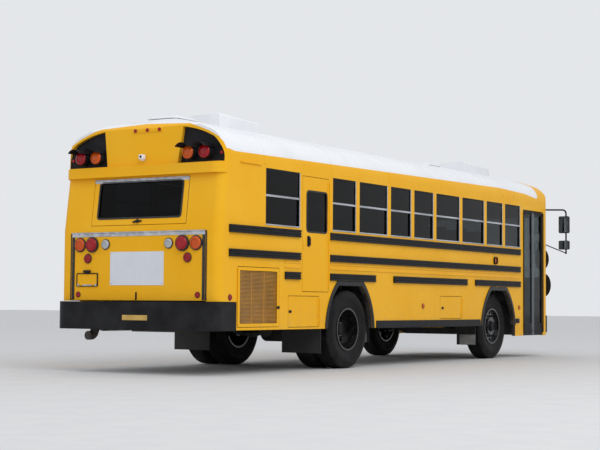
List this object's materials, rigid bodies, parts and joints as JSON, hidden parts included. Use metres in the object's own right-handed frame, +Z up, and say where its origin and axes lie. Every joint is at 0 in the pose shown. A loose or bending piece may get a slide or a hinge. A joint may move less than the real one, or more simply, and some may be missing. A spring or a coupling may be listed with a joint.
{
  "type": "school bus",
  "caption": "Rear engine school bus with flat front, side windows and exit doors, hinged doors and hatches, steered front wheels and twin rear wheels",
  "frame": {"origin": "on the ground, under the middle of the overall length and width", "axes": "+X towards the front of the bus, +Y to its left, +Z up"},
  "size_m": [10.11, 3.134, 3.3156],
  "materials": {
    "body_yellow": "glossy yellow paint",
    "roof_white": "glossy white paint",
    "trim_black": "black paint",
    "frame_black": "satin black",
    "dark_glass": "dark tint",
    "floor_grey": "matte",
    "seat_vinyl": "satin vinyl",
    "dash_plastic": "matte",
    "engine_iron": "painted",
    "radiator_metal": "dull",
    "chassis_steel": "black paint",
    "exhaust_steel": "dull",
    "flap_rubber": "matte",
    "lamp_red": "gloss",
    "lamp_clear": "gloss",
    "rim_black": "gloss black paint",
    "tyre": "matte"
  },
  "bodies": {
    "coach": {"roof": "roof_white", "rear_cap": "body_yellow", "front_cap": "body_yellow", "side_wall_right": "body_yellow", "side_wall_left": "body_yellow", "rear_wall": "body_yellow", "front_wall": "body_yellow", "windshield": "dark_glass", "window_frames": "frame_black", "window_glass": "dark_glass", "rub_rails": "trim_black", "arch_trims": "trim_black", "bumpers": "trim_black", "floor": "floor_grey", "passenger_seats": "seat_vinyl", "driver_seat": "seat_vinyl", "dashboard": "dash_plastic", "steering_wheel": "dash_plastic", "engine_block": "engine_iron", "radiator": "radiator_metal", "chassis_frame": "chassis_steel", "cross_members": "chassis_steel", "tow_eyes": "chassis_steel", "wipers": "trim_black", "front_axle": "chassis_steel", "rear_axle": "chassis_steel", "tanks": "chassis_steel", "exhaust": "exhaust_steel", "mud_flaps": "flap_rubber", "roof_units": "roof_white", "warning_lamps": "trim_black", "mirrors": "trim_black", "body_lamps": "lamp_clear"},
    "engine_door": {"engine_door": "body_yellow", "tail_lamps": "lamp_red"},
    "rear_window": {"rear_window": "body_yellow"},
    "exit_door_right": {"exit_door_right": "body_yellow"},
    "exit_door_left": {"exit_door_left": "body_yellow"},
    "entrance_leaf_rear": {"entrance_leaf_rear": "frame_black"},
    "entrance_leaf_front": {"entrance_leaf_front": "frame_black"},
    "radiator_door": {"radiator_door": "body_yellow"},
    "battery_door": {"battery_door": "body_yellow"},
    "fuel_door": {"fuel_door": "body_yellow"},
    "roof_hatch_rear": {"roof_hatch_rear": "roof_white"},
    "roof_hatch_front": {"roof_hatch_front": "roof_white"},
    "stop_arm": {"stop_arm": "lamp_red"},
    "knuckle_left": {"knuckle_left": "chassis_steel"},
    "knuckle_right": {"knuckle_right": "chassis_steel"},
    "front_wheel_left": {"front_rim_left": "rim_black", "front_tyre_left": "tyre"},
    "front_wheel_right": {"front_rim_right": "rim_black", "front_tyre_right": "tyre"},
    "rear_wheel_left": {"rear_rim_left": "rim_black", "rear_tyre_left": "tyre"},
    "rear_wheel_right": {"rear_rim_right": "rim_black", "rear_tyre_right": "tyre"}
  },
  "joints": [
    {"name": "engine_door_hinge", "type": "hinge", "parent": "coach", "child": "engine_door", "pos_m": [-4.9645, 0, 1.712], "axis": [0, 1, 0], "range_deg": [0, 85]},
    {"name": "rear_window_hinge", "type": "hinge", "parent": "coach", "child": "rear_window", "pos_m": [-4.8833, 0, 2.36695], "axis": [0, 1, 0], "range_deg": [0, 60]},
    {"name": "exit_door_right_hinge", "type": "hinge", "parent": "coach", "child": "exit_door_right", "pos_m": [-2.481, -1.228, 1.753], "axis": [0, 0, 1], "range_deg": [0, 100]},
    {"name": "exit_door_left_hinge", "type": "hinge", "parent": "coach", "child": "exit_door_left", "pos_m": [-2.481, 1.228, 1.753], "axis": [0, 0, -1], "range_deg": [0, 100]},
    {"name": "entrance_leaf_rear_hinge", "type": "hinge", "parent": "coach", "child": "entrance_leaf_rear", "pos_m": [3.824, -1.228, 1.4], "axis": [0, 0, -1], "range_deg": [0, 90]},
    {"name": "entrance_leaf_front_hinge", "type": "hinge", "parent": "coach", "child": "entrance_leaf_front", "pos_m": [4.649, -1.228, 1.4], "axis": [0, 0, 1], "range_deg": [0, 90]},
    {"name": "radiator_door_hinge", "type": "hinge", "parent": "coach", "child": "radiator_door", "pos_m": [-4.563, -1.228, 0.934], "axis": [0, 0, -1], "range_deg": [0, 100]},
    {"name": "battery_door_hinge", "type": "hinge", "parent": "coach", "child": "battery_door", "pos_m": [-2.715, -1.228, 0.76], "axis": [0, 0, 1], "range_deg": [0, 100]},
    {"name": "fuel_door_hinge", "type": "hinge", "parent": "coach", "child": "fuel_door", "pos_m": [1.479, -1.228, 0.821], "axis": [0, 0, 1], "range_deg": [0, 100]},
    {"name": "roof_hatch_rear_hinge", "type": "hinge", "parent": "coach", "child": "roof_hatch_rear", "pos_m": [-4.033, 0, 3.1538], "axis": [0, 1, 0], "range_deg": [0, 75]},
    {"name": "roof_hatch_front_hinge", "type": "hinge", "parent": "coach", "child": "roof_hatch_front", "pos_m": [2.742, 0, 3.1538], "axis": [0, 1, 0], "range_deg": [0, 75]},
    {"name": "stop_arm_hinge", "type": "hinge", "parent": "coach", "child": "stop_arm", "pos_m": [3.529, 1.274, 1.56], "axis": [0, 0, -1], "range_deg": [0, 90]},
    {"name": "steer_left", "type": "hinge", "parent": "coach", "child": "knuckle_left", "pos_m": [2.825, 0.78, 0.522], "axis": [0, 0, 1], "range_deg": [-40, 40]},
    {"name": "steer_right", "type": "hinge", "parent": "coach", "child": "knuckle_right", "pos_m": [2.825, -0.78, 0.522], "axis": [0, 0, 1], "range_deg": [-40, 40]},
    {"name": "front_wheel_left_spin", "type": "hinge", "parent": "knuckle_left", "child": "front_wheel_left", "pos_m": [2.825, 0.98, 0.522], "axis": [0, 1, 0], "continuous": true},
    {"name": "front_wheel_right_spin", "type": "hinge", "parent": "knuckle_right", "child": "front_wheel_right", "pos_m": [2.825, -0.98, 0.522], "axis": [0, 1, 0], "continuous": true},
    {"name": "rear_wheel_left_spin", "type": "hinge", "parent": "coach", "child": "rear_wheel_left", "pos_m": [-1.915, 0.89, 0.522], "axis": [0, 1, 0], "continuous": true},
    {"name": "rear_wheel_right_spin", "type": "hinge", "parent": "coach", "child": "rear_wheel_right", "pos_m": [-1.915, -0.89, 0.522], "axis": [0, 1, 0], "continuous": true}
  ],
  "couplings": [
    {"joint": "steer_right", "follows": "steer_left", "ratio": 1}
  ]
}
